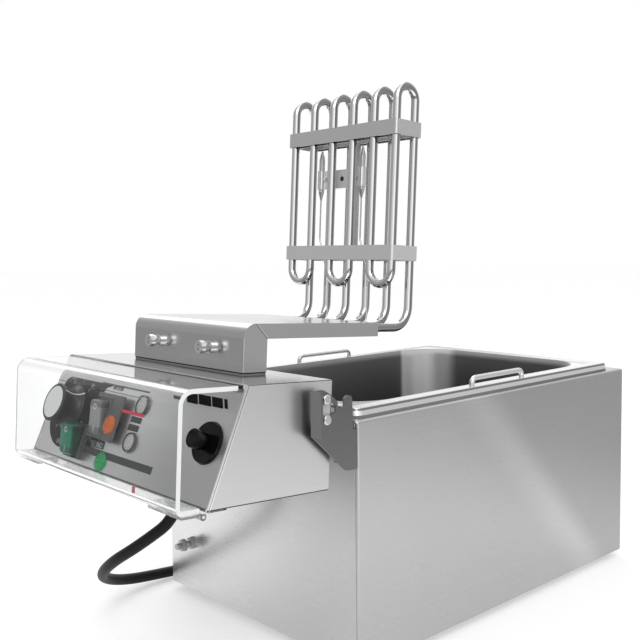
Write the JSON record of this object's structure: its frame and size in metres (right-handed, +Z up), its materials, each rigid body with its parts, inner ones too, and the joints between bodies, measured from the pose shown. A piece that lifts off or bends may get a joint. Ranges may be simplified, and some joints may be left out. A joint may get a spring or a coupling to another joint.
{
  "type": "deep fryer",
  "caption": "Counter-top electric deep fryer: stainless housing with a lift-out oil tank and a heating head that tilts up to drain, with clear-covered controls.",
  "frame": {"origin": "on the floor under the feet, below the middle of housing and raised head together, cord left out", "axes": "+Z up, -Y out of the housing's front, +Y towards the heating head at the rear, +X to the right seen from the front"},
  "size_m": [0.4709, 0.5912, 0.5114],
  "materials": {
    "stainless_brushed": "fine brushed stainless sheet",
    "stainless_bright": "bright rolled stainless",
    "tube_bright": "polished tubular element sheath",
    "plated_steel": "zinc plated fasteners",
    "brass_bright": "plain brass",
    "black_rubber": "matt rubber",
    "dark_silicone": "matt silicone seal",
    "black_plastic": "fine grained moulding",
    "white_plastic": "plain moulding",
    "green_plastic": "glossy moulding",
    "grey_plastic": "glossy moulding",
    "platform_grey": "matt moulding",
    "orange_lens": "ribbed tinted lens",
    "green_lens": "ribbed tinted lens",
    "clear_lens": "ribbed clear lens",
    "clear_cover": "clear bent sheet",
    "ceramic_white": "plain steatite"
  },
  "bodies": {
    "base": {"housing_wrap": "stainless_brushed", "rear_panel": "stainless_brushed", "base_plate": "stainless_brushed", "feet": "black_rubber", "oil_tank": "stainless_brushed", "tank_seal": "dark_silicone", "tank_handles": "stainless_bright", "head_bracket_left": "stainless_brushed", "head_bracket_right": "stainless_brushed", "bracket_rivets": "plated_steel", "hinge_pads": "white_plastic", "hinge_screws": "plated_steel", "stop_screws": "plated_steel", "bonding_stud": "brass_bright", "bonding_nuts": "brass_bright", "cord_lead": "black_rubber", "cord_coil": "black_rubber", "cord_tie": "black_rubber", "plug_body": "black_rubber", "plug_pins": "brass_bright"},
    "head": {"head_case": "stainless_brushed", "head_side_left": "stainless_brushed", "head_side_right": "stainless_brushed", "control_panel": "stainless_brushed", "element_carrier": "stainless_brushed", "hood_gasket": "dark_silicone", "hood_studs": "plated_steel", "heating_elements": "tube_bright", "element_ferrules": "brass_bright", "element_terminals": "brass_bright", "element_strap_lower": "stainless_brushed", "element_strap_upper": "stainless_brushed", "centre_bar": "stainless_brushed", "probe_clip": "stainless_brushed", "clip_screws": "plated_steel", "probe_bulbs": "tube_bright", "capillaries": "tube_bright", "thermostat_body": "black_plastic", "green_switch": "black_plastic", "grey_switch": "black_plastic", "switch_platform": "platform_grey", "orange_lens": "orange_lens", "green_lens": "green_lens", "clear_lenses": "clear_lens", "lamp_bezels": "black_plastic", "limiter_body": "black_plastic", "reset_collar": "black_plastic", "terminal_block": "ceramic_white", "hinge_leaves": "stainless_bright", "cord_gland": "black_plastic"},
    "knob": {"thermostat_knob": "black_plastic", "knob_disc": "stainless_bright", "thermostat_spindle": "plated_steel"},
    "green_rocker": {"green_rocker": "green_plastic"},
    "grey_rocker": {"grey_rocker": "grey_plastic"},
    "reset_button": {"reset_button": "black_plastic"},
    "cover": {"splash_cover": "clear_cover", "cover_leaves": "stainless_bright", "cover_pins": "stainless_bright"}
  },
  "joints": [
    {"name": "head_tilt", "type": "hinge", "parent": "base", "child": "head", "pos_m": [0, 0.16535, 0.2232], "axis": [1, 0, 0], "range_deg": [0, 86.5], "deforming": ["cord_lead"]},
    {"name": "cover_flap", "type": "hinge", "parent": "head", "child": "cover", "pos_m": [0, 0.27443, 0.16796], "axis": [-1, 0, 0], "range_deg": [0, 110]},
    {"name": "thermostat_turn", "type": "hinge", "parent": "head", "child": "knob", "pos_m": [0.095, 0.25433, 0.21417], "axis": [0, 0.9124, 0.4093], "range_deg": [0, 290]},
    {"name": "green_switch_rock", "type": "hinge", "parent": "head", "child": "green_rocker", "pos_m": [0.063, 0.27227, 0.19372], "axis": [1, 0, 0], "range_deg": [0, 33.6]},
    {"name": "grey_switch_rock", "type": "hinge", "parent": "head", "child": "grey_rocker", "pos_m": [0.034, 0.25937, 0.21369], "axis": [1, 0, 0], "range_deg": [0, 33.6]},
    {"name": "reset_press", "type": "slide", "parent": "head", "child": "reset_button", "axis": [0, -0.9124, -0.4093], "range_m": [0, 0.003], "stiffness_N_per_m": 600}
  ]
}
